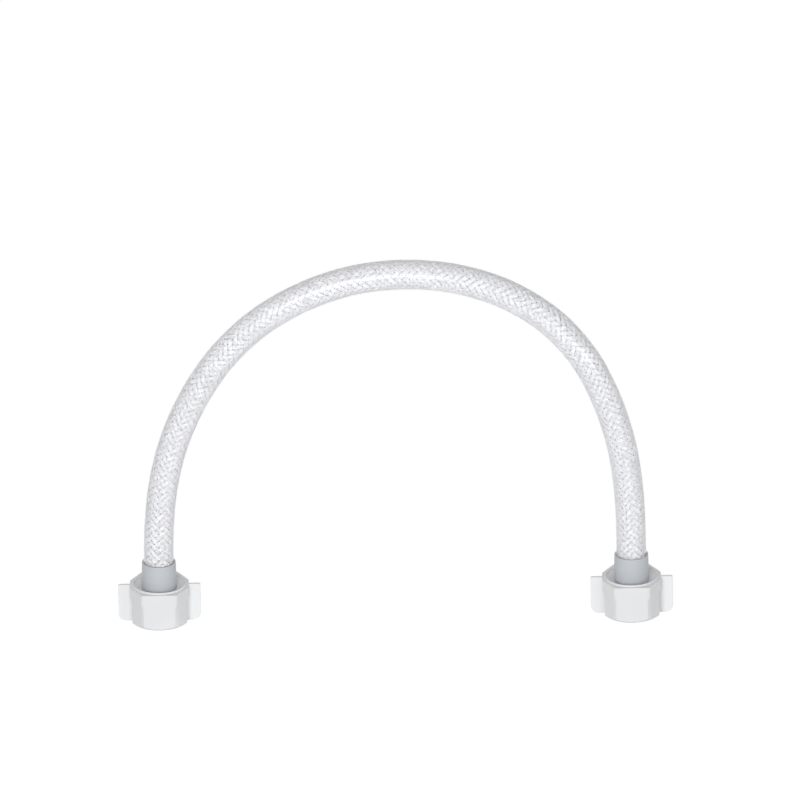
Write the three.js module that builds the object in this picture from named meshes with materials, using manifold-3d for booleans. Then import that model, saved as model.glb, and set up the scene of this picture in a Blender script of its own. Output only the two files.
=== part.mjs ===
// A short flexible water supply hose with a winged swivel nut at each end.
// Millimetres, +Z up. The hose bends in an arch in the XZ plane and stands on its two nuts.
// The origin lies midway between the nuts, on the plane of their open mouths.

import * as THREE from "three";
import { mergeVertices } from "three/addons/utils/BufferGeometryUtils.js";
import Module from "manifold-3d";

const wasm = await Module();
wasm.setup();

// Gaps between pieces that touch on the real object
const SEAT_GAP = 0.3;
const SWIVEL_CLEARANCE = 0.4;
const FLANGE_CLEARANCE = 0.35;
const WASHER_CLEARANCE = 0.45;

// Hose: a clear liner, a woven braid and a clear jacket, one over the other
const HOSE_BORE_RADIUS = 4.5;
const LINER_WALL = 0.8;
const BRAID_WALL = 0.4;
const JACKET_WALL = 1.2;
const LAYER_GAP = 0.3;
const HOSE_SIDES = 12;
const HOSE_STEPS = 26;

// Middle line of the hose between its ends, as [x, z], from the left nut over to the right one
const ROUTE = [
  [-118, 33],
  [-117.5, 50],
  [-115, 73],
  [-109, 97],
  [-98.5, 121],
  [-84.3, 142.5],
  [-65.8, 160.6],
  [-43.5, 174.1],
  [-18.8, 182.6],
  [7.5, 185.3],
  [33.5, 182.3],
  [58, 173.4],
  [79.2, 158.7],
  [95.6, 138.9],
  [106.7, 115.6],
  [113.9, 90.4],
  [117.2, 65],
  [118, 42],
  [118, 31],
];

// Ferrule: a sleeve round the hose end, with a lip at its base that turns in to the insert's neck
const FERRULE_HEIGHT = 13.5;
const FERRULE_WALL_BASE = 1;
const FERRULE_WALL_TOP = 0.65;
const FERRULE_LIP = 1.2;

// Nut: outside
const NUT_HEIGHT = 19.6;
const NUT_WALL = 4.55;
const BAND_HEIGHT = 6.1;
const BAND_CHEEK_WALL = 4.05;
const LOWER_CHEEK_WALL = 3.1;
const CORNER_TRIM_FRONT = 1;
const CORNER_TRIM_SIDE = 2.1;
const FOOT_CHAMFER_WIDTH = 3.5;
const FOOT_CHAMFER_HEIGHT = 2.6;
const WING_PROJECTION = 5.85;
const WING_THICKNESS = 2;
const WING_LOWER_RADIUS = 4;
const WING_UPPER_RADIUS = 0.6;

// Nut: inside, for a half inch parallel male thread
const THREAD_CREST_RADIUS = 9.65;
const THREAD_DEPTH = 0.95;
const MOUTH_CHAMFER = 1.25;
const WEB_THICKNESS = 2.8;
const RECESS_DEPTH = 1.6;
const RECESS_CLEARANCE = 1.2;
const RECESS_FLARE = 2.5;
const RIM_WIDTH = 1.2;
const RIM_HEIGHT = 0.7;

// Insert: a flange under the nut's web, a neck through it and a barbed stem up into the hose
const NECK_RADIUS = 6.9;
const FLANGE_THICKNESS = 2.5;
const SPIGOT_RADIUS = 4.9;
const STEM_LENGTH = 11;
const STEM_WALL = 0.65;
const BARB_COUNT = 4;
const BARB_HEIGHT = 0.4;
const BARB_SPACE = 0.7;

const WASHER_THICKNESS = 2;

const ROUND_SEGMENTS = 32;
const ARC_STEPS = 6;
const MERGE_TOLERANCE = 1e-4;
const CUT_MARGIN = 1;

// Radii that follow from the sizes above
const linerRadius = HOSE_BORE_RADIUS + LINER_WALL;
const braidInnerRadius = linerRadius + LAYER_GAP;
const braidRadius = braidInnerRadius + BRAID_WALL;
const jacketInnerRadius = braidRadius + LAYER_GAP;
const hoseRadius = jacketInnerRadius + JACKET_WALL;
const ferruleBore = hoseRadius + SEAT_GAP;
const ferruleBaseRadius = ferruleBore + FERRULE_WALL_BASE;
const threadRootRadius = THREAD_CREST_RADIUS + THREAD_DEPTH;
const flangeRadius = THREAD_CREST_RADIUS - FLANGE_CLEARANCE;
const recessFloorRadius = ferruleBaseRadius + RECESS_CLEARANCE;
const rimInnerRadius = recessFloorRadius + RECESS_FLARE;
const rimRadius = rimInnerRadius + RIM_WIDTH;
const barbRadius = HOSE_BORE_RADIUS * Math.cos(Math.PI / HOSE_SIDES) - SEAT_GAP;
const stemRadius = barbRadius - BARB_HEIGHT;
const waterwayRadius = stemRadius - STEM_WALL;

// Heights that follow from the sizes above, from the nut's mouth up
const recessFloorZ = NUT_HEIGHT - RECESS_DEPTH;
const webZ = recessFloorZ - WEB_THICKNESS;
const flangeTopZ = webZ - SEAT_GAP;
const flangeZ = flangeTopZ - FLANGE_THICKNESS;
const washerTopZ = flangeZ - SEAT_GAP;
const washerZ = washerTopZ - WASHER_THICKNESS;
const ferruleZ = recessFloorZ + SEAT_GAP;
const ferruleTopZ = ferruleZ + FERRULE_HEIGHT;
const shoulderZ = ferruleZ + FERRULE_LIP + SEAT_GAP;
const hoseEndZ = shoulderZ + SEAT_GAP;
const stemTopZ = shoulderZ + STEM_LENGTH;

const clearPlastic = new THREE.MeshStandardMaterial({
  color: 0xe9ebee,
  roughness: 0.15,
  metalness: 0,
  transparent: true,
  opacity: 0.35,
});
const braidYarn = new THREE.MeshStandardMaterial({ color: 0xf4f5f6, roughness: 0.6, metalness: 0 });
const greyPlastic = new THREE.MeshStandardMaterial({ color: 0xc4c7cc, roughness: 0.5, metalness: 0 });
const palePlastic = new THREE.MeshStandardMaterial({ color: 0xe9eaea, roughness: 0.4, metalness: 0 });
const whitePlastic = new THREE.MeshStandardMaterial({ color: 0xdfe1e3, roughness: 0.4, metalness: 0 });
const blackRubber = new THREE.MeshStandardMaterial({ color: 0x26282a, roughness: 0.8, metalness: 0 });

// A closed geometry as a solid that can be joined and cut
function toSolid(geometry) {
  const bare = geometry.clone();
  bare.deleteAttribute("normal");
  bare.deleteAttribute("uv");
  const merged = mergeVertices(bare, MERGE_TOLERANCE);
  const mesh = new wasm.Mesh({
    numProp: 3,
    vertProperties: new Float32Array(merged.attributes.position.array),
    triVerts: new Uint32Array(merged.index.array),
  });
  return new wasm.Manifold(mesh);
}

function toGeometry(solid) {
  const mesh = solid.getMesh();
  const geometry = new THREE.BufferGeometry();
  geometry.setAttribute("position", new THREE.BufferAttribute(mesh.vertProperties, 3));
  geometry.setIndex(new THREE.BufferAttribute(mesh.triVerts, 1));
  const faceted = geometry.toNonIndexed();
  faceted.computeVertexNormals();
  return faceted;
}

// A solid of revolution about +Z: the outline is a list of [radius, z], anticlockwise
function turned(outline) {
  const points = outline.map(([radius, z]) => new THREE.Vector2(radius, z));
  return new THREE.LatheGeometry(points, ROUND_SEGMENTS).rotateX(Math.PI / 2);
}

// A ring's outline ends where it starts
function turnedRing(outline) {
  return turned([...outline, outline[0]]);
}

function prism(outline, bottom, top) {
  const shape = new THREE.Shape(outline.map(([x, y]) => new THREE.Vector2(x, y)));
  const geometry = new THREE.ExtrudeGeometry(shape, { depth: top - bottom, bevelEnabled: false });
  return geometry.translate(0, 0, bottom);
}

function polygonPoints(radius) {
  const points = [];
  for (let i = 0; i < HOSE_SIDES; i += 1) {
    const angle = (2 * Math.PI * i) / HOSE_SIDES;
    points.push(new THREE.Vector2(radius * Math.cos(angle), radius * Math.sin(angle)));
  }
  return points;
}

// One layer of the hose along the middle line
function hoseLayer(path, innerRadius, outerRadius) {
  const section = new THREE.Shape(polygonPoints(outerRadius));
  section.holes.push(new THREE.Path(polygonPoints(innerRadius).reverse()));
  return new THREE.ExtrudeGeometry(section, { steps: HOSE_STEPS, extrudePath: path });
}

function ferrule() {
  const lipRadius = NECK_RADIUS + SEAT_GAP;
  const lipTopZ = ferruleZ + FERRULE_LIP;
  return turnedRing([
    [lipRadius, ferruleZ],
    [ferruleBaseRadius, ferruleZ],
    [ferruleBore + FERRULE_WALL_TOP, ferruleTopZ],
    [ferruleBore, ferruleTopZ],
    [ferruleBore, lipTopZ],
    [lipRadius, lipTopZ],
  ]);
}

// Each barb has a square edge below, above a short space, and tapers towards the stem's tip
function barbOutline() {
  const pitch = STEM_LENGTH / BARB_COUNT;
  const points = [];
  for (let i = 0; i < BARB_COUNT; i += 1) {
    const edgeZ = shoulderZ + i * pitch + BARB_SPACE;
    points.push([stemRadius, edgeZ]);
    points.push([barbRadius, edgeZ]);
    points.push([stemRadius, shoulderZ + (i + 1) * pitch]);
  }
  return points;
}

function insert() {
  const spigotZ = washerZ + SEAT_GAP;
  return turnedRing([
    [waterwayRadius, spigotZ],
    [SPIGOT_RADIUS, spigotZ],
    [SPIGOT_RADIUS, flangeZ],
    [flangeRadius, flangeZ],
    [flangeRadius, flangeTopZ],
    [NECK_RADIUS, flangeTopZ],
    [NECK_RADIUS, shoulderZ],
    [stemRadius, shoulderZ],
    ...barbOutline(),
    [waterwayRadius, stemTopZ],
  ]);
}

function washer() {
  const innerRadius = SPIGOT_RADIUS + SEAT_GAP;
  const outerRadius = THREAD_CREST_RADIUS - WASHER_CLEARANCE;
  return turnedRing([
    [innerRadius, washerZ],
    [outerRadius, washerZ],
    [outerRadius, washerTopZ],
    [innerRadius, washerTopZ],
  ]);
}

// A hexagon with flats facing -Y and +Y, cut straight at x = -cheek and x = +cheek.
// The four corners beside the flats are cut off by the trims along the flat and along the side.
function nutSection(cheek, frontTrim, sideTrim) {
  const apothem = threadRootRadius + NUT_WALL;
  const flatHalf = apothem * Math.tan(Math.PI / 6);
  const cheekY = apothem - (cheek - flatHalf) * Math.tan(Math.PI / 3);
  const quarter = [[cheek, cheekY]];
  if (sideTrim > 0) {
    const sideX = flatHalf + sideTrim * Math.cos(Math.PI / 3);
    const sideY = apothem - sideTrim * Math.sin(Math.PI / 3);
    quarter.push([sideX, sideY]);
  }
  quarter.push([flatHalf - frontTrim, apothem]);
  const mirrored = [...quarter].reverse().map(([x, y]) => [-x, y]);
  const upper = [...quarter, ...mirrored];
  const lower = [...upper].reverse().map(([x, y]) => [x, -y]);
  return [...upper, ...lower];
}

function nutBody() {
  const bandCheek = threadRootRadius + BAND_CHEEK_WALL;
  const lowerCheek = threadRootRadius + LOWER_CHEEK_WALL;
  const lower = prism(nutSection(lowerCheek, CORNER_TRIM_FRONT, CORNER_TRIM_SIDE), 0, NUT_HEIGHT);
  const band = prism(nutSection(bandCheek, 0, 0), NUT_HEIGHT - BAND_HEIGHT, NUT_HEIGHT);
  const wide = lowerCheek + FOOT_CHAMFER_WIDTH;
  const envelope = turned([
    [0, 0],
    [lowerCheek, 0],
    [wide, FOOT_CHAMFER_HEIGHT],
    [wide, NUT_HEIGHT],
    [0, NUT_HEIGHT],
  ]);
  return toSolid(lower).add(toSolid(band)).intersect(toSolid(envelope));
}

// The two wings are one plate across the nut, which its bores then cut
function wings() {
  const reach = threadRootRadius + BAND_CHEEK_WALL + WING_PROJECTION;
  const shape = new THREE.Shape();
  shape.moveTo(-reach + WING_LOWER_RADIUS, 0);
  shape.lineTo(reach - WING_LOWER_RADIUS, 0);
  shape.absarc(reach - WING_LOWER_RADIUS, WING_LOWER_RADIUS, WING_LOWER_RADIUS, -Math.PI / 2, 0);
  const upperX = reach - WING_UPPER_RADIUS;
  const upperZ = NUT_HEIGHT - WING_UPPER_RADIUS;
  shape.absarc(upperX, upperZ, WING_UPPER_RADIUS, 0, Math.PI / 2);
  shape.absarc(-upperX, upperZ, WING_UPPER_RADIUS, Math.PI / 2, Math.PI);
  shape.absarc(-reach + WING_LOWER_RADIUS, WING_LOWER_RADIUS, WING_LOWER_RADIUS, Math.PI, Math.PI * 1.5);
  const plate = new THREE.ExtrudeGeometry(shape, {
    depth: WING_THICKNESS,
    bevelEnabled: false,
    curveSegments: ARC_STEPS,
  });
  return plate.translate(0, 0, -WING_THICKNESS / 2).rotateX(Math.PI / 2);
}

// The raised rim round the recess has a rounded top
function rim() {
  const half = RIM_WIDTH / 2;
  const shoulder = NUT_HEIGHT + RIM_HEIGHT - half;
  const outline = [
    [rimInnerRadius, recessFloorZ],
    [rimRadius, recessFloorZ],
  ];
  for (let i = 0; i <= ARC_STEPS; i += 1) {
    const angle = (Math.PI * i) / ARC_STEPS;
    outline.push([rimInnerRadius + half + half * Math.cos(angle), shoulder + half * Math.sin(angle)]);
  }
  return turnedRing(outline);
}

// Everything that is hollow in the nut: the funnel on top, the web's hole and the threaded mouth
function nutHollow() {
  const holeRadius = NECK_RADIUS + SWIVEL_CLEARANCE;
  const mouthRadius = threadRootRadius + SEAT_GAP;
  const above = NUT_HEIGHT + RIM_HEIGHT + CUT_MARGIN;
  return turned([
    [0, -CUT_MARGIN],
    [mouthRadius, -CUT_MARGIN],
    [mouthRadius, 0],
    [THREAD_CREST_RADIUS, MOUTH_CHAMFER],
    [THREAD_CREST_RADIUS, webZ],
    [holeRadius, webZ],
    [holeRadius, recessFloorZ],
    [recessFloorRadius, recessFloorZ],
    [rimInnerRadius, NUT_HEIGHT + RIM_HEIGHT - RIM_WIDTH / 2],
    [rimInnerRadius, above],
    [0, above],
  ]);
}

function wingNut() {
  const joined = nutBody().add(toSolid(wings())).add(toSolid(rim()));
  return toGeometry(joined.subtract(toSolid(nutHollow())));
}

function named(name, geometry, material) {
  const mesh = new THREE.Mesh(geometry, material);
  mesh.name = name;
  return mesh;
}

// The pieces at one end of the hose, on the axis of its nut
function endFitting(letter, x) {
  const fitting = new THREE.Group();
  fitting.add(named(`wing_nut_${letter}`, wingNut(), palePlastic));
  fitting.add(named(`insert_${letter}`, insert(), whitePlastic));
  fitting.add(named(`washer_${letter}`, washer(), blackRubber));
  fitting.add(named(`ferrule_${letter}`, ferrule(), greyPlastic));
  fitting.position.x = x;
  return fitting;
}

const startX = ROUTE[0][0];
const endX = ROUTE[ROUTE.length - 1][0];
const middleLine = new THREE.CatmullRomCurve3(
  [[startX, hoseEndZ], ...ROUTE, [endX, hoseEndZ]].map(([x, z]) => new THREE.Vector3(x, 0, z)),
);

const hose = new THREE.Group();
hose.add(endFitting("a", startX));
hose.add(endFitting("b", endX));
hose.add(named("hose_liner", hoseLayer(middleLine, HOSE_BORE_RADIUS, linerRadius), clearPlastic));
hose.add(named("braid_sleeve", hoseLayer(middleLine, braidInnerRadius, braidRadius), braidYarn));
hose.add(named("hose_jacket", hoseLayer(middleLine, jacketInnerRadius, hoseRadius), clearPlastic));

export default hose;
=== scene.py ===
# A clear braided water supply hose, standing as an arch on its two winged nuts.
# Metres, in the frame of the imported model: X along the span, Z up, the viewer at -Y.

import math

import bmesh
import bpy
import numpy as np
from mathutils import Matrix, Vector


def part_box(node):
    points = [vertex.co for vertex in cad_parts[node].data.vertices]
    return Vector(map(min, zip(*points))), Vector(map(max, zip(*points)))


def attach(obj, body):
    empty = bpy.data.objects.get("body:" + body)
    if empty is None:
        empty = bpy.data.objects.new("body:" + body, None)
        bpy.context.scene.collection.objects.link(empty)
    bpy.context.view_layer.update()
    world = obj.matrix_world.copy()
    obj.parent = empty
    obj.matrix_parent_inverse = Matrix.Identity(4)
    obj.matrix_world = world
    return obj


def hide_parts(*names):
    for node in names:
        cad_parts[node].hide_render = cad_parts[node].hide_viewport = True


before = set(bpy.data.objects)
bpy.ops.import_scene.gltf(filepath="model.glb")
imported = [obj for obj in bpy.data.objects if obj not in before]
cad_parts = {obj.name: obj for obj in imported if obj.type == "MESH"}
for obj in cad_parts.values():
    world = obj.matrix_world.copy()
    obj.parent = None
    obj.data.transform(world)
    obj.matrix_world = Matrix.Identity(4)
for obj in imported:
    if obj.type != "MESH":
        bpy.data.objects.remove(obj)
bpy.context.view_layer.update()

MM = 0.001

# Camera: a long lens that looks down a little, rolled slightly
IMAGE_SIZE = 800
SENSOR = 36
LENS = 1000
PIXELS_PER_METRE = 2000
ELEVATION = math.radians(23.4)
ROLL = math.radians(0.94)
ORIGIN_PIXEL = (396, 615.7)
CLIP_END = 40

# Hose: the points of its middle line between the ends, as (x, z)
ROUTE = [
    (-0.118, 0.033),
    (-0.1175, 0.050),
    (-0.115, 0.073),
    (-0.109, 0.097),
    (-0.0985, 0.121),
    (-0.0843, 0.1425),
    (-0.0658, 0.1606),
    (-0.0435, 0.1741),
    (-0.0188, 0.1826),
    (0.0075, 0.1853),
    (0.0335, 0.1823),
    (0.058, 0.1734),
    (0.0792, 0.1587),
    (0.0956, 0.1389),
    (0.1067, 0.1156),
    (0.1139, 0.0904),
    (0.1172, 0.065),
    (0.118, 0.042),
    (0.118, 0.031),
]
ROUTE_SAMPLES = 60
TANGENT_REACH = 0.5 * MM
HOSE_RADIUS = 7.5 * MM
BORE_RADIUS = 4.5 * MM
HOSE_RINGS = 420
HOSE_SIDES = 72

# Braid: yarn bundles laid both ways round, two over and two under
YARNS_EACH_WAY = 10
BRAID_PITCH = 36.4 * MM
BRAID_RADIUS = 5.8 * MM
YARN_WIDTH = 2.18 * MM
YARN_THICKNESS = 0.36 * MM
YARN_EDGE_SHARE = 0.25
YARN_FLAT_SHARE = 0.75
YARN_LOBES = 3
LOBE_DEPTH = 0.14 * MM
YARN_ENDS = 0.6 * MM
STEPS_PER_CROSSING = 3
FILAMENTS = 40
FILAMENT_MAP = "across"

# The yarns' wave in and out. Where it starts, in crossings, sets the weave for each way round
YARN_WAVE = 0.19 * MM
WAVE_STEEPNESS = 1.35
WAVE_START = {1: -0.5, -1: 2.5}

# The fittings' sizes are in millimetres and degrees, and to_place scales the finished pieces

# Nut: half inch thread inside, hexagon with trimmed corners and two wings outside
NUT_APOTHEM = 15.15
BAND_HEIGHT = 6.1
BAND_CHEEK = 14.65
LOWER_CHEEK = 13.7
TRIM_FRONT = 1
TRIM_SIDE = 2.1
FOOT_CHAMFER = (3.5, 2.6)
WING_THICKNESS = 2
WING_LOWER_RADIUS = 4
WING_UPPER_RADIUS = 0.7
NUT_EDGE_ROUND = 0.28
NUT_EDGE_ANGLE = 20
WING_EDGE_ANGLE = 40
NUT_SMOOTH_ANGLE = 32
BEVEL_SEGMENTS = 3
RIM_INNER_RADIUS = 12.5
RIM_WIDTH = 1.2
RIM_HEIGHT = 0.7
RECESS_DEPTH = 1.6
RECESS_FLOOR_RADIUS = 10
RECESS_CORNER_IN = 0.4
RECESS_CORNER_OUT = 0.1
RECESS_CORNER_RISE = 0.25
WEB_THICKNESS = 2.8
WEB_HOLE_RADIUS = 7.3

# Thread: its fade is in turns, and its flank is a straight slope cut flat at crest and root
THREAD_CREST = 9.65
THREAD_DEPTH = 0.95
THREAD_PITCH = 1.814
THREAD_TOP = 9.9
THREAD_FADE = 0.6
THREAD_ROWS_PER_TURN = 14
FLANK_SLOPE = 1.5
FLANK_START = 0.25
MOUTH_CHAMFER = 1.25
MOUTH_SPACE = 0.3

# Ferrule, insert and washer
FERRULE_BORE = 7.53
FERRULE_TOP_RADIUS = 8.45
FERRULE_LIP = 1.2
FERRULE_LIP_RADIUS = 7.2
NECK_RADIUS = 6.9
SPIGOT_RADIUS = 4.9
WATERWAY_RADIUS = 3
STEM_RADIUS = 3.65
BARB_RADIUS = 4.05
BARB_COUNT = 4
BARB_SPACE = 0.7
STEM_LENGTH = 11
FLANGE_THICKNESS = 2.5
WASHER_SPACE = 0.3
WASHER_BORE = 5.2
EDGE_ROUND = 0.15

# Meshes: the steps of round forms, how far a cutter passes its cut, and the least distances
ROUND_SEGMENTS = 96
SMOOTH_ANGLE = 35
ARC_STEPS = 8
EDGE_ARC_STEPS = 3
CUT_MARGIN = 1
CUT_REACH = 20
FACE_SPACE = 0.02
MERGE_DISTANCE = 0.0005

# The nuts' axes along X, in metres
HALF_SPAN = 118 * MM
ENDS = {"a": -HALF_SPAN, "b": HALF_SPAN}

# Colours in sRGB, from 0 to 255. Where there are two, a noise drifts between them
WALL_COLOUR = (247, 247, 250)
WALL_SHADOW_COLOUR = (200, 200, 200)
YARN_COLOURS = (200, 200, 202), (247, 247, 247)
NUT_COLOURS = (230, 231, 232), (236, 237, 238)
# The wings' paler colour is painted light, standing in for light that passes through the thin wings
WING_PAINTED_LIGHT_COLOUR = (242, 243, 244)
FERRULE_COLOURS = (193, 197, 202), (200, 203, 208)
INSERT_COLOURS = (222, 224, 226), (230, 232, 234)
RUBBER_COLOURS = (36, 37, 39), (52, 53, 55)
FLOOR_COLOUR = (232, 233, 235)
# How far, in millimetres, the wings' painted light fades in from the body
WING_PAINTED_LIGHT_BLEND = 1

# Roughness, from the smoothest places to the dullest
NUT_ROUGHNESS = (0.31, 0.43)
FERRULE_ROUGHNESS = (0.37, 0.49)
INSERT_ROUGHNESS = (0.4, 0.52)
RUBBER_ROUGHNESS = (0.62, 0.8)

# Surroundings
FLOOR_HALF = 4
FLOOR_GLOW = 1.6
FLOOR_GLOW_SHARE = 0.5
WORLD_STRENGTH = 0.46
LIGHT_DISTANCE = 1.6
LIGHT_TARGET_HEIGHT = 0.09


def make_camera():
    """Looks along +Y from a little above, with the model's origin on its pixel of the image."""
    level = Vector((1, 0, 0))
    upward = Vector((0, math.sin(ELEVATION), math.cos(ELEVATION)))
    back = Vector((0, -math.cos(ELEVATION), math.sin(ELEVATION)))
    right = level * math.cos(ROLL) - upward * math.sin(ROLL)
    up = level * math.sin(ROLL) + upward * math.cos(ROLL)
    across = (IMAGE_SIZE / 2 - ORIGIN_PIXEL[0]) / PIXELS_PER_METRE
    above = (ORIGIN_PIXEL[1] - IMAGE_SIZE / 2) / PIXELS_PER_METRE
    distance = LENS / SENSOR * IMAGE_SIZE / PIXELS_PER_METRE
    place = right * across + up * above + back * distance
    data = bpy.data.cameras.new("camera")
    data.lens = LENS
    data.sensor_width = SENSOR
    data.clip_end = CLIP_END
    camera = bpy.data.objects.new("camera", data)
    camera.matrix_world = Matrix((
        (right.x, up.x, back.x, place.x),
        (right.y, up.y, back.y, place.y),
        (right.z, up.z, back.z, place.z),
        (0, 0, 0, 1),
    ))
    bpy.context.scene.collection.objects.link(camera)
    bpy.context.scene.camera = camera


# Meshes

def add_mesh(name, vertices, faces, smooth=True):
    mesh = bpy.data.meshes.new(name)
    mesh.from_pydata([tuple(v) for v in vertices], [], faces)
    mesh.validate()
    mesh.polygons.foreach_set("use_smooth", [smooth] * len(mesh.polygons))
    mesh.update()
    piece = bpy.data.objects.new(name, mesh)
    bpy.context.scene.collection.objects.link(piece)
    return piece


def grid_faces(rows, columns, first=0):
    """Quads between rows of points that each close on themselves."""
    faces = []
    for i in range(rows - 1):
        for j in range(columns):
            a = first + i * columns + j
            b = first + i * columns + (j + 1) % columns
            faces.append((a, b, b + columns, a + columns))
    return faces


def revolve(name, outline):
    """A solid of revolution about the Z axis. The outline is a list of (radius, z), anticlockwise
    with the radius to the right, and closes on itself or starts and ends at radius 0."""
    solid = bmesh.new()
    turns = [2 * math.pi * k / ROUND_SEGMENTS for k in range(ROUND_SEGMENTS)]
    rings = []
    for radius, z in outline:
        if radius == 0:
            rings.append([solid.verts.new((0, 0, z))])
        else:
            circle = [(radius * math.cos(t), radius * math.sin(t), z) for t in turns]
            rings.append([solid.verts.new(point) for point in circle])
    closed = outline[0][0] > 0
    for i in range(len(rings) if closed else len(rings) - 1):
        low, high = rings[i], rings[(i + 1) % len(rings)]
        for k in range(ROUND_SEGMENTS):
            n = (k + 1) % ROUND_SEGMENTS
            corners = [low[k % len(low)], low[n % len(low)], high[n % len(high)], high[k % len(high)]]
            solid.faces.new(list(dict.fromkeys(corners)))
    mesh = bpy.data.meshes.new(name)
    solid.to_mesh(mesh)
    solid.free()
    piece = bpy.data.objects.new(name, mesh)
    bpy.context.scene.collection.objects.link(piece)
    smooth_by_angle(piece, SMOOTH_ANGLE)
    return piece


def prism(name, outline, bottom, top):
    """A closed prism over an outline of (x, y), anticlockwise seen from above."""
    count = len(outline)
    vertices = [(x, y, bottom) for x, y in outline] + [(x, y, top) for x, y in outline]
    faces = [tuple(reversed(range(count))), tuple(range(count, 2 * count))]
    for i in range(count):
        n = (i + 1) % count
        faces.append((i, n, n + count, i + count))
    return add_mesh(name, vertices, faces, smooth=False)


def smooth_by_angle(piece, degrees):
    mesh = piece.data
    mesh.polygons.foreach_set("use_smooth", [True] * len(mesh.polygons))
    mesh.set_sharp_from_angle(angle=math.radians(degrees))


def apply_modifiers(piece):
    evaluated = piece.evaluated_get(bpy.context.evaluated_depsgraph_get())
    mesh = bpy.data.meshes.new_from_object(evaluated)
    piece.modifiers.clear()
    piece.data = mesh


def combine(piece, tool, operation):
    """Joins tool to piece, or cuts or crosses piece with it, and removes tool."""
    boolean = piece.modifiers.new("combine", "BOOLEAN")
    boolean.object = tool
    boolean.operation = operation
    boolean.solver = "EXACT"
    apply_modifiers(piece)
    bpy.data.objects.remove(tool)
    clean = bmesh.new()
    clean.from_mesh(piece.data)
    bmesh.ops.remove_doubles(clean, verts=clean.verts, dist=MERGE_DISTANCE)
    bmesh.ops.dissolve_degenerate(clean, edges=clean.edges, dist=MERGE_DISTANCE)
    clean.to_mesh(piece.data)
    clean.free()


def round_edges(piece, width, degrees):
    """Rounds the edges whose faces meet at more than so many degrees."""
    bevel = piece.modifiers.new("round", "BEVEL")
    bevel.width = width
    bevel.segments = BEVEL_SEGMENTS
    bevel.limit_method = "ANGLE"
    bevel.angle_limit = math.radians(degrees)
    bevel.use_clamp_overlap = True
    apply_modifiers(piece)


def half_width_and_heights(node):
    """Half the width along X of a CAD node, and its lowest and highest point, in millimetres."""
    low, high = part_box(node)
    return (high.x - low.x) / 2 / MM, low.z / MM, high.z / MM


def to_place(piece, name, x):
    """Names a fitting, scales it from millimetres to metres and moves it along X."""
    piece.name = name
    piece.data.transform(Matrix.Translation((x, 0, 0)) @ Matrix.Scale(MM, 4))
    return piece


def arc(centre, radius, start, end, steps=ARC_STEPS):
    """Points of an arc, with its angles in degrees."""
    angles = [math.radians(start + (end - start) * i / steps) for i in range(steps + 1)]
    return [(centre[0] + radius * math.cos(t), centre[1] + radius * math.sin(t)) for t in angles]


# Hose

def catmull_rom(points):
    """A centripetal Catmull-Rom curve through the points, sampled finely."""
    pts = np.array(points, float)
    pts = np.vstack([2 * pts[0] - pts[1], pts, 2 * pts[-1] - pts[-2]])
    made = []
    for p0, p1, p2, p3 in zip(pts, pts[1:], pts[2:], pts[3:]):
        d0, d1, d2 = (math.sqrt(np.linalg.norm(b - a)) for a, b in ((p0, p1), (p1, p2), (p2, p3)))
        start = ((p1 - p0) / d0 - (p2 - p0) / (d0 + d1) + (p2 - p1) / d1) * d1
        end = ((p2 - p1) / d1 - (p3 - p1) / (d1 + d2) + (p3 - p2) / d2) * d1
        for t in np.arange(ROUTE_SAMPLES) / ROUTE_SAMPLES:
            made.append(
                (2 * t**3 - 3 * t**2 + 1) * p1 + (t**3 - 2 * t**2 + t) * start
                + (3 * t**2 - 2 * t**3) * p2 + (t**3 - t**2) * end
            )
    made.append(pts[-2])
    return np.array(made)


class MiddleLine:
    """The hose's middle line in the XZ plane, measured by its length."""

    def __init__(self):
        end_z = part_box("hose_jacket")[0].z
        first, last = (ROUTE[0][0], end_z), (ROUTE[-1][0], end_z)
        self.points = catmull_rom([first, *ROUTE, last])
        steps = np.linalg.norm(np.diff(self.points, axis=0), axis=1)
        self.along = np.concatenate([[0], np.cumsum(steps)])
        self.length = self.along[-1]

    def place(self, s):
        """The line's X and Z at lengths s along it."""
        return [np.interp(s, self.along, self.points[:, axis]) for axis in (0, 1)]

    def at(self, s):
        """Places on the line and the directions across it, outwards in the arch's plane."""
        x, z = self.place(s)
        x_before, z_before = self.place(s - TANGENT_REACH)
        x_after, z_after = self.place(s + TANGENT_REACH)
        dx = x_after - x_before
        dz = z_after - z_before
        size = np.hypot(dx, dz)
        zero = np.zeros_like(x)
        centre = np.stack([x, zero, z], axis=-1)
        outward = np.stack([-dz / size, zero, dx / size], axis=-1)
        return centre, outward

    def ring_point(self, s, angle, radius):
        """Points at an angle round the line, from its outward side towards +Y."""
        centre, outward = self.at(s)
        sideways = np.array([0, 1, 0])
        c, d = np.cos(angle)[..., None], np.sin(angle)[..., None]
        return centre + np.asarray(radius)[..., None] * (c * outward + d * sideways)


def hose_tube(name, line, inner, outer):
    """A tube with a wall along the middle line, closed at its two ends."""
    s = np.linspace(0, line.length, HOSE_RINGS)
    angles = 2 * math.pi * np.arange(HOSE_SIDES) / HOSE_SIDES
    grid_s, grid_angle = np.meshgrid(s, angles, indexing="ij")
    outside = line.ring_point(grid_s, grid_angle, outer).reshape(-1, 3)
    inside = line.ring_point(grid_s, grid_angle, inner).reshape(-1, 3)
    first = len(outside)
    faces = [tuple(reversed(f)) for f in grid_faces(HOSE_RINGS, HOSE_SIDES)]
    faces += grid_faces(HOSE_RINGS, HOSE_SIDES, first)
    last = (HOSE_RINGS - 1) * HOSE_SIDES
    for j in range(HOSE_SIDES):
        n = (j + 1) % HOSE_SIDES
        faces.append((j, n, first + n, first + j))
        faces.append((last + n, last + j, first + last + j, first + last + n))
    return add_mesh(name, np.vstack([outside, inside]), faces)


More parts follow.
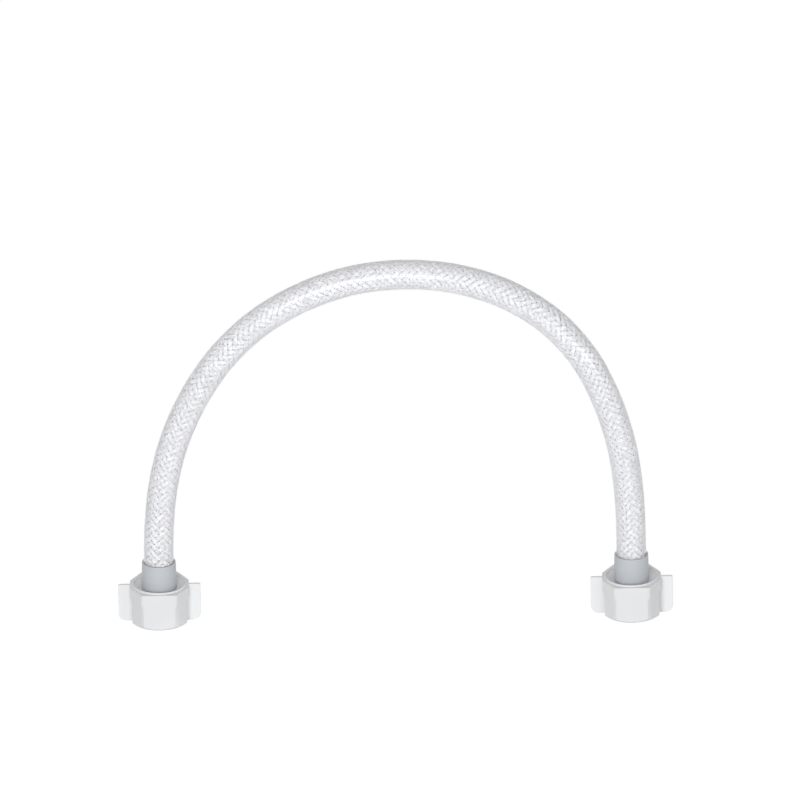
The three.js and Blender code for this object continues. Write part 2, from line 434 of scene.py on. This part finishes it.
def yarn_section():
    """Outline of one yarn bundle, as (across, out): lobed outside and flat inside."""
    half = YARN_WIDTH / 2
    points = []
    steps = 2 * YARN_LOBES
    for i in range(steps + 1):
        across = half * (1 - 2 * i / steps)
        crown = math.sqrt(1 - (across / half) ** 4)
        height = YARN_THICKNESS / 2 * (YARN_EDGE_SHARE + (1 - YARN_EDGE_SHARE) * crown)
        between_lobes = i % 2 == 0 and 0 < i < steps
        points.append((across, height - (LOBE_DEPTH if between_lobes else 0)))
    flat = half * YARN_FLAT_SHARE
    return points + [(-flat, -YARN_THICKNESS / 2), (flat, -YARN_THICKNESS / 2)]


def unit(vectors):
    """The vectors, one in each row, at a length of 1."""
    return vectors / np.linalg.norm(vectors, axis=1)[:, None]


def braid_layer(name, line, turn):
    """All yarns that wind one way, with turn 1 or -1. Each lies over two of the others, then under two."""
    crossing = BRAID_PITCH / (2 * YARNS_EACH_WAY)
    count = int((line.length - 2 * YARN_ENDS) / crossing * STEPS_PER_CROSSING)
    s = np.linspace(YARN_ENDS, line.length - YARN_ENDS, count)
    centre, _ = line.at(s)
    section = np.array(yarn_section())
    sides = len(section)
    vertices, faces = [], []
    for k in range(YARNS_EACH_WAY):
        angle = turn * 2 * math.pi * s / BRAID_PITCH + 2 * math.pi * k / YARNS_EACH_WAY
        phase = WAVE_START[turn] + turn * 2 * k
        wave = np.clip(WAVE_STEEPNESS * np.cos(math.pi / 2 * (s / crossing + phase)), -1, 1)
        middle = line.ring_point(s, angle, BRAID_RADIUS + YARN_WAVE * wave)
        outward = unit(middle - centre)
        forward = unit(np.gradient(middle, axis=0))
        across = unit(np.cross(outward, forward))
        rings = (
            middle[:, None, :]
            + across[:, None, :] * section[None, :, 0, None]
            + outward[:, None, :] * section[None, :, 1, None]
        )
        first = k * count * sides
        last = first + (count - 1) * sides
        vertices.append(rings.reshape(-1, 3))
        faces += grid_faces(count, sides, first)
        faces.append(tuple(first + j for j in reversed(range(sides))))
        faces.append(tuple(last + j for j in range(sides)))
    piece = add_mesh(name, np.vstack(vertices), faces)
    attribute = piece.data.attributes.new(FILAMENT_MAP, "FLOAT", "POINT")
    around = np.tile(np.arange(sides) / sides, count * YARNS_EACH_WAY)
    attribute.data.foreach_set("value", np.asarray(around, np.float32))
    return piece


# Nut

def shave(piece, first, second, top):
    """Cuts off what lies outside the vertical plane through two points of (x, y), up to a height."""
    a, b = Vector(first), Vector(second)
    along = (b - a).normalized() * CUT_REACH
    out = Vector((along.y, -along.x))
    if out.dot(a + b) < 0:
        a, b, along, out = b, a, -along, -out
    corners = [b + along, a - along, a - along + out, b + along + out]
    combine(piece, prism("shaving", corners, -CUT_MARGIN, top), "DIFFERENCE")


def nut_body(height):
    """A hexagon with flats towards -Y and +Y. It is straight at the cheeks, and below the band
    its cheeks lie further in and the corners beside the flats are trimmed."""
    flat_half = NUT_APOTHEM * math.tan(math.pi / 6)
    slant = math.pi / 3
    cheek_y = NUT_APOTHEM - (BAND_CHEEK - flat_half) * math.tan(slant)
    right = [(BAND_CHEEK, -cheek_y), (BAND_CHEEK, cheek_y), (flat_half, NUT_APOTHEM)]
    left = [(-x, -y) for x, y in right]
    body = prism("nut_body", [
        (flat_half, -NUT_APOTHEM), *right, (-flat_half, NUT_APOTHEM), *left,
    ], 0, height)
    ledge = height - BAND_HEIGHT
    front = (flat_half - TRIM_FRONT, NUT_APOTHEM)
    side = (flat_half + TRIM_SIDE * math.cos(slant), NUT_APOTHEM - TRIM_SIDE * math.sin(slant))
    for x_sign in (-1, 1):
        shave(body, (x_sign * LOWER_CHEEK, -1), (x_sign * LOWER_CHEEK, 1), ledge)
        for y_sign in (-1, 1):
            ends = [(x_sign * x, y_sign * y) for x, y in (front, side)]
            shave(body, *ends, ledge)
    round_edges(body, NUT_EDGE_ROUND, NUT_EDGE_ANGLE)
    across, up = FOOT_CHAMFER
    below = (LOWER_CHEEK - across * CUT_MARGIN / up, -CUT_MARGIN)
    wide = LOWER_CHEEK + across
    above = height + CUT_MARGIN
    envelope = revolve("nut_envelope", [(0, below[1]), below, (wide, up), (wide, above), (0, above)])
    combine(body, envelope, "INTERSECT")
    return body


def wing_plate(height, reach):
    """Both wings as one upright plate, which passes through the nut's axis."""
    upper_x, upper_z = reach - WING_UPPER_RADIUS, height - FACE_SPACE - WING_UPPER_RADIUS
    lower_x, lower_z = reach - WING_LOWER_RADIUS, FACE_SPACE + WING_LOWER_RADIUS
    outline = arc((lower_x, lower_z), WING_LOWER_RADIUS, -90, 0)
    outline += arc((upper_x, upper_z), WING_UPPER_RADIUS, 0, 90, EDGE_ARC_STEPS)
    outline += arc((-upper_x, upper_z), WING_UPPER_RADIUS, 90, 180, EDGE_ARC_STEPS)
    outline += arc((-lower_x, lower_z), WING_LOWER_RADIUS, 180, 270)
    plate = prism("nut_wings", outline, -WING_THICKNESS / 2, WING_THICKNESS / 2)
    plate.data.transform(Matrix.Rotation(math.pi / 2, 4, "X"))
    round_edges(plate, NUT_EDGE_ROUND, WING_EDGE_ANGLE)
    return plate


def nut_rim(height, recess_floor):
    """The raised rim with its round top, sunk into the nut to below the recess."""
    centre = (RIM_INNER_RADIUS + RIM_WIDTH / 2, height + RIM_HEIGHT - RIM_WIDTH / 2)
    foot = recess_floor - CUT_MARGIN / 2
    outline = [(RIM_INNER_RADIUS, foot), (RIM_INNER_RADIUS + RIM_WIDTH, foot)]
    return revolve("nut_rim", outline + arc(centre, RIM_WIDTH / 2, 0, 180))


def recess_cutter(height, recess_floor):
    """The funnel-shaped recess inside the rim, as a solid that reaches past the rim's top."""
    above = height + RIM_HEIGHT + CUT_MARGIN
    return revolve("nut_recess", [
        (0, recess_floor),
        (RECESS_FLOOR_RADIUS - RECESS_CORNER_IN, recess_floor),
        (RECESS_FLOOR_RADIUS + RECESS_CORNER_OUT, recess_floor + RECESS_CORNER_RISE),
        (RIM_INNER_RADIUS + FACE_SPACE, height + RIM_HEIGHT - RIM_WIDTH / 2),
        (RIM_INNER_RADIUS + FACE_SPACE, above),
        (0, above),
    ])


def hole_cutter(web_bottom, recess_floor):
    """The hole in the web, as a solid that reaches past the web on both sides."""
    low = web_bottom - CUT_MARGIN
    high = recess_floor + CUT_MARGIN
    return revolve("nut_hole", [(0, low), (WEB_HOLE_RADIUS, low), (WEB_HOLE_RADIUS, high), (0, high)])


def bore_cutter(web_bottom):
    """The threaded mouth, as a solid: a screw with a chamfer at its foot and a plain top end that
    reaches the web."""
    low = -CUT_MARGIN
    rows = int((THREAD_TOP - low) / THREAD_PITCH * THREAD_ROWS_PER_TURN)
    heights = np.linspace(low, THREAD_TOP, rows)
    turns = np.arange(ROUND_SEGMENTS) / ROUND_SEGMENTS
    z, turn = np.meshgrid(heights, turns, indexing="ij")
    ridge = np.abs(((z / THREAD_PITCH - turn) % 1) * 2 - 1)
    groove = np.clip(ridge * FLANK_SLOPE - FLANK_START, 0, 1)
    fade = np.clip((THREAD_TOP - z) / (THREAD_FADE * THREAD_PITCH), 0, 1)
    radius = THREAD_CREST + THREAD_DEPTH * groove * fade
    mouth = THREAD_CREST + THREAD_DEPTH + MOUTH_SPACE
    chamfer = mouth - (mouth - THREAD_CREST) * np.clip(z, 0, MOUTH_CHAMFER) / MOUTH_CHAMFER
    radius = np.where(z < MOUTH_CHAMFER, np.maximum(radius, chamfer), radius)
    angle = 2 * math.pi * turn
    points = np.stack([radius * np.cos(angle), radius * np.sin(angle), z], axis=-1)
    last = points[-1].copy()
    last[:, 2] = web_bottom
    vertices = np.vstack([points.reshape(-1, 3), last])
    faces = grid_faces(rows + 1, ROUND_SEGMENTS)
    faces.append(tuple(reversed(range(ROUND_SEGMENTS))))
    faces.append(tuple(rows * ROUND_SEGMENTS + k for k in range(ROUND_SEGMENTS)))
    return add_mesh("nut_bore", vertices, faces, smooth=False)


def wing_nut(letter, x):
    """The coupling nut: hexagon, wings and rim in one piece, cut by the recess, the web's hole and
    the thread."""
    reach, _, top = half_width_and_heights(f"wing_nut_{letter}")
    height = top - RIM_HEIGHT
    recess_floor = height - RECESS_DEPTH
    web_bottom = recess_floor - WEB_THICKNESS
    nut = nut_body(height)
    combine(nut, wing_plate(height, reach), "UNION")
    combine(nut, nut_rim(height, recess_floor), "UNION")
    combine(nut, recess_cutter(height, recess_floor), "DIFFERENCE")
    combine(nut, hole_cutter(web_bottom, recess_floor), "DIFFERENCE")
    combine(nut, bore_cutter(web_bottom), "DIFFERENCE")
    smooth_by_angle(nut, NUT_SMOOTH_ANGLE)
    weighted = nut.modifiers.new("weighted", "WEIGHTED_NORMAL")
    weighted.keep_sharp = True
    apply_modifiers(nut)
    return to_place(nut, f"coupling_nut_{letter}", x)


# The other fittings

def ferrule(letter, x):
    """The sleeve round a hose end, narrower at the top, with a lip under the hose."""
    base, low, high = half_width_and_heights(f"ferrule_{letter}")
    lip_top = low + FERRULE_LIP
    outline = [(FERRULE_LIP_RADIUS, low)]
    outline += arc((base - EDGE_ROUND, low + EDGE_ROUND), EDGE_ROUND, -90, 0, EDGE_ARC_STEPS)
    outline += arc((FERRULE_TOP_RADIUS - EDGE_ROUND, high - EDGE_ROUND), EDGE_ROUND, 0, 90, EDGE_ARC_STEPS)
    outline += [
        (FERRULE_BORE + EDGE_ROUND, high),
        (FERRULE_BORE, high - EDGE_ROUND),
        (FERRULE_BORE, lip_top),
        (FERRULE_LIP_RADIUS, lip_top),
    ]
    return to_place(revolve("ferrule", outline), f"hose_ferrule_{letter}", x)


def insert(letter, x):
    """The tailpiece, from below: spigot in the washer, flange, neck in the web, and barbed stem."""
    flange, low, high = half_width_and_heights(f"insert_{letter}")
    _, _, washer_top = half_width_and_heights(f"washer_{letter}")
    shoulder = high - STEM_LENGTH
    flange_low = washer_top + WASHER_SPACE
    flange_top = flange_low + FLANGE_THICKNESS
    pitch = STEM_LENGTH / BARB_COUNT
    outline = [
        (WATERWAY_RADIUS + EDGE_ROUND, low),
        (SPIGOT_RADIUS - EDGE_ROUND, low),
        (SPIGOT_RADIUS, low + EDGE_ROUND),
        (SPIGOT_RADIUS, flange_low),
        (flange, flange_low),
        (flange, flange_top),
        (NECK_RADIUS, flange_top),
        (NECK_RADIUS, shoulder),
        (STEM_RADIUS, shoulder),
    ]
    for i in range(BARB_COUNT):
        edge = shoulder + i * pitch + BARB_SPACE
        outline += [(STEM_RADIUS, edge), (BARB_RADIUS, edge), (STEM_RADIUS, shoulder + (i + 1) * pitch)]
    outline += [(WATERWAY_RADIUS, high), (WATERWAY_RADIUS, low + EDGE_ROUND)]
    return to_place(revolve("insert", outline), f"barbed_tailpiece_{letter}", x)


def washer(letter, x):
    """The flat sealing ring round the spigot, with rounded edges."""
    radius, low, high = half_width_and_heights(f"washer_{letter}")
    outline = []
    for centre, start in (
        ((radius - EDGE_ROUND, low + EDGE_ROUND), -90),
        ((radius - EDGE_ROUND, high - EDGE_ROUND), 0),
        ((WASHER_BORE + EDGE_ROUND, high - EDGE_ROUND), 90),
        ((WASHER_BORE + EDGE_ROUND, low + EDGE_ROUND), 180),
    ):
        outline += arc(centre, EDGE_ROUND, start, start + 90, EDGE_ARC_STEPS)
    return to_place(revolve("washer", outline), f"sealing_washer_{letter}", x)


# Materials

def srgb(r, g, b):
    """A colour given as 0 to 255 in sRGB, as linear RGBA."""
    linear = []
    for channel in (r, g, b):
        c = channel / 255
        linear.append(c / 12.92 if c <= 0.04045 else ((c + 0.055) / 1.055) ** 2.4)
    return (*linear, 1)


def seen_ray(tree):
    """1 for the rays that show what lies behind: from the camera, from gloss and through the wall."""
    path = tree.nodes.new("ShaderNodeLightPath")
    seen = path.outputs["Is Camera Ray"]
    for ray in ("Is Glossy Ray", "Is Transmission Ray"):
        either = tree.nodes.new("ShaderNodeMath")
        either.operation = "MAXIMUM"
        tree.links.new(seen, either.inputs[0])
        tree.links.new(path.outputs[ray], either.inputs[1])
        seen = either.outputs["Value"]
    return seen


class Nodes:
    """A new material's node tree, with short ways to add and join nodes."""

    def __init__(self, name):
        self.material = bpy.data.materials.new(name)
        self.material.use_nodes = True
        self.tree = self.material.node_tree
        self.shader = self.tree.nodes["Principled BSDF"]
        self.output = self.tree.nodes["Material Output"]

    def add(self, kind, **settings):
        node = self.tree.nodes.new(kind)
        for key, value in settings.items():
            setattr(node, key, value)
        return node

    def join(self, source, target):
        self.tree.links.new(source, target)

    def set(self, **values):
        """Sets the shader's own sockets, named with _ for each space."""
        for key, value in values.items():
            self.shader.inputs[key.replace("_", " ")].default_value = value

    def feed(self, socket, source):
        """Joins a node's output to one of the shader's sockets."""
        self.join(source, self.shader.inputs[socket])

    def noise(self, scale, detail=3):
        place = self.add("ShaderNodeTexCoord")
        noise = self.add("ShaderNodeTexNoise")
        noise.inputs["Scale"].default_value = scale
        noise.inputs["Detail"].default_value = detail
        self.join(place.outputs["Object"], noise.inputs["Vector"])
        return noise.outputs["Fac"]

    def calculate(self, operation, value, other=0):
        """A sum on a value, with a plain number as the other one where the operation has two."""
        node = self.add("ShaderNodeMath", operation=operation)
        node.inputs[1].default_value = other
        self.join(value, node.inputs[0])
        return node.outputs["Value"]

    def spread(self, value, low, high, start=0, end=1):
        """From low to high, as the value goes from start to end."""
        node = self.add("ShaderNodeMapRange")
        node.inputs["From Min"].default_value = start
        node.inputs["From Max"].default_value = end
        node.inputs["To Min"].default_value = low
        node.inputs["To Max"].default_value = high
        self.join(value, node.inputs["Value"])
        return node.outputs["Result"]

    def tint(self, value, low, high):
        """From colour low to colour high, as the value goes from 0 to 1. Low may be a node's output."""
        node = self.add("ShaderNodeMix", data_type="RGBA")
        colours = [s for s in node.inputs if s.type == "RGBA"]
        if isinstance(low, bpy.types.NodeSocket):
            self.join(low, colours[0])
        else:
            colours[0].default_value = srgb(*low)
        colours[1].default_value = srgb(*high)
        self.join(value, node.inputs[0])
        return next(s for s in node.outputs if s.type == "RGBA")

    def bump(self, height, strength, distance, target="Normal"):
        node = self.add("ShaderNodeBump")
        node.inputs["Strength"].default_value = strength
        node.inputs["Distance"].default_value = distance
        self.join(height, node.inputs["Height"])
        self.feed(target, node.outputs["Normal"])

    def mix_in(self, other, share):
        """Gives the surface a share of another shader, and the rest of its own."""
        mix = self.add("ShaderNodeMixShader")
        self.join(share, mix.inputs["Fac"])
        self.join(self.shader.outputs["BSDF"], mix.inputs[1])
        self.join(other, mix.inputs[2])
        self.join(mix.outputs["Shader"], self.output.inputs["Surface"])


def moulded_plastic(name, colours, roughness, wing_painted_light=None):
    """Moulded plastic: a faint drift of tone, uneven gloss and a fine skin. A nut's wings may be
    painted paler: painted light that stands in for the light passing through the thin plates."""
    made = Nodes(name)
    colour = made.tint(made.noise(scale=90), *colours)
    # Painted light: the wings are made paler, as if light passed through them
    if wing_painted_light:
        colour = made.tint(painted_wing_light_share(made), colour, wing_painted_light)
    made.feed("Base Color", colour)
    made.feed("Roughness", made.spread(made.noise(scale=400), *roughness))
    made.bump(made.noise(scale=2600, detail=2), strength=0.12, distance=0.05 * MM)
    return made.material


def painted_wing_light_share(made):
    """Where the wings' painted light goes: 0 on a nut's body and 1 on its wings, by the distance from the
    nut's axis along X.
    """
    place = made.add("ShaderNodeTexCoord")
    split = made.add("ShaderNodeSeparateXYZ")
    made.join(place.outputs["Object"], split.inputs["Vector"])
    from_middle = made.calculate("ABSOLUTE", split.outputs["X"])
    beyond_axis = made.calculate("SUBTRACT", from_middle, HALF_SPAN)
    distance = made.calculate("ABSOLUTE", beyond_axis)
    return made.spread(distance, 0, 1, BAND_CHEEK * MM, (BAND_CHEEK + WING_PAINTED_LIGHT_BLEND) * MM)


def clear_pvc(name):
    """Clear, slightly milky soft plastic under a wavy gloss. Its shadow is light, so that the lamps
    reach the braid through it."""
    made = Nodes(name)
    made.set(Base_Color=srgb(*WALL_COLOUR), Roughness=0.05, IOR=1.2, Transmission_Weight=0.8)
    made.set(Coat_Weight=1, Coat_Roughness=0.12, Coat_IOR=1.45)
    made.bump(made.noise(scale=120, detail=2), strength=0.35, distance=0.3 * MM, target="Coat Normal")
    made.bump(made.noise(scale=420, detail=2), strength=0.7, distance=0.3 * MM)
    open_way = made.add("ShaderNodeBsdfTransparent")
    open_way.inputs["Color"].default_value = srgb(*WALL_SHADOW_COLOUR)
    path = made.add("ShaderNodeLightPath")
    made.mix_in(open_way.outputs["BSDF"], path.outputs["Is Shadow Ray"])
    return made.material


def braid_yarn(name):
    """White polyester yarn: fine filaments along each bundle, soft sheen and flecks of a darker tone."""
    made = Nodes(name)
    across = made.add("ShaderNodeAttribute", attribute_name=FILAMENT_MAP)
    turn = made.calculate("MULTIPLY", across.outputs["Fac"], 2 * math.pi * FILAMENTS)
    made.bump(made.calculate("SINE", turn), strength=0.35, distance=0.03 * MM)
    flecks = made.spread(made.noise(scale=900, detail=2), -1.1, 2.1)
    made.feed("Base Color", made.tint(flecks, *YARN_COLOURS))
    made.set(Roughness=0.3, Sheen_Weight=0.9, Sheen_Roughness=0.5)
    return made.material


def rubber(name, colours, roughness):
    """Black rubber: dull, with an uneven tone and a grainy skin."""
    made = Nodes(name)
    made.feed("Base Color", made.tint(made.noise(scale=700), *colours))
    made.feed("Roughness", made.spread(made.noise(scale=900), *roughness))
    made.bump(made.noise(scale=3500, detail=2), strength=0.25, distance=0.04 * MM)
    return made.material


# Surroundings

def make_floor():
    """A pale floor that shows as white to the camera and keeps the object's soft shadow."""
    signs = ((-1, -1), (1, -1), (1, 1), (-1, 1))
    corners = [(x * FLOOR_HALF, y * FLOOR_HALF, 0) for x, y in signs]
    floor = add_mesh("floor", corners, [(0, 1, 2, 3)], smooth=False)
    made = Nodes("floor_white")
    made.set(Base_Color=srgb(*FLOOR_COLOUR), Roughness=0.9, Specular_IOR_Level=0)
    glow = made.add("ShaderNodeEmission")
    glow.inputs["Strength"].default_value = FLOOR_GLOW
    share = made.calculate("MULTIPLY", seen_ray(made.tree), FLOOR_GLOW_SHARE)
    made.mix_in(glow.outputs["Emission"], share)
    floor.data.materials.append(made.material)


def make_world():
    """White where it is seen, and a dimmer even light on the object."""
    world = bpy.data.worlds.new("world")
    world.use_nodes = True
    tree = world.node_tree
    background = tree.nodes["Background"]
    background.inputs["Color"].default_value = (1, 1, 1, 1)
    strength = tree.nodes.new("ShaderNodeMapRange")
    strength.inputs["To Min"].default_value = WORLD_STRENGTH
    strength.inputs["To Max"].default_value = 1
    tree.links.new(seen_ray(tree), strength.inputs["Value"])
    tree.links.new(strength.outputs["Result"], background.inputs["Strength"])
    bpy.context.scene.world = world


def soft_light(name, azimuth, elevation, width, height, power):
    """A rectangular lamp in front of the object. The azimuth runs from the viewer to the right."""
    turn, rise = math.radians(azimuth), math.radians(elevation)
    towards = Vector((math.sin(turn) * math.cos(rise), -math.cos(turn) * math.cos(rise), math.sin(rise)))
    data = bpy.data.lights.new(name, "AREA")
    data.shape = "RECTANGLE"
    data.size = width
    data.size_y = height
    data.energy = power
    lamp = bpy.data.objects.new(name, data)
    lamp.location = Vector((0, 0, LIGHT_TARGET_HEIGHT)) + towards * LIGHT_DISTANCE
    lamp.rotation_mode = "QUATERNION"
    lamp.rotation_quaternion = (-towards).to_track_quat("-Z", "Y")
    bpy.context.scene.collection.objects.link(lamp)


def make_lights():
    soft_light("front", azimuth=-9, elevation=16, width=0.9, height=0.55, power=11.9)
    soft_light("streak", azimuth=37, elevation=1, width=0.5, height=0.08, power=2.1)


# Assembly

def dress(piece, body, slot, material, *nodes):
    """Gives a piece its material and body, and hides the CAD nodes that it stands for. The slot is not
    used.
    """
    piece.data.materials.clear()
    piece.data.materials.append(material)
    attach(piece, body)
    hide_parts(*nodes)


def make_hose(clear, yarn):
    line = MiddleLine()
    jacket = hose_tube("clear_wall", line, BORE_RADIUS, HOSE_RADIUS)
    dress(jacket, "hose_assembly", "clear_pvc", clear, "hose_jacket", "hose_liner")
    for name, turn in (("braid_right_hand", 1), ("braid_left_hand", -1)):
        layer = braid_layer(name, line, turn)
        dress(layer, "hose_assembly", "braid_yarn", yarn, "braid_sleeve")


def make_fittings():
    nut_plastic = moulded_plastic("nut_plastic", NUT_COLOURS, NUT_ROUGHNESS, WING_PAINTED_LIGHT_COLOUR)
    grey_plastic = moulded_plastic("ferrule_plastic", FERRULE_COLOURS, FERRULE_ROUGHNESS)
    pale_plastic = moulded_plastic("insert_plastic", INSERT_COLOURS, INSERT_ROUGHNESS)
    black_rubber = rubber("washer_rubber", RUBBER_COLOURS, RUBBER_ROUGHNESS)
    for letter, x in ENDS.items():
        dress(wing_nut(letter, x), f"nut_{letter}", "nut_plastic", nut_plastic, f"wing_nut_{letter}")
        dress(ferrule(letter, x), "hose_assembly", "ferrule_plastic", grey_plastic, f"ferrule_{letter}")
        dress(insert(letter, x), "hose_assembly", "insert_plastic", pale_plastic, f"insert_{letter}")
        dress(washer(letter, x), "hose_assembly", "washer_rubber", black_rubber, f"washer_{letter}")


make_camera()
make_hose(clear_pvc("clear_pvc"), braid_yarn("braid_yarn"))
make_fittings()
make_floor()
make_world()
make_lights()
bpy.context.scene.view_settings.view_transform = "Standard"
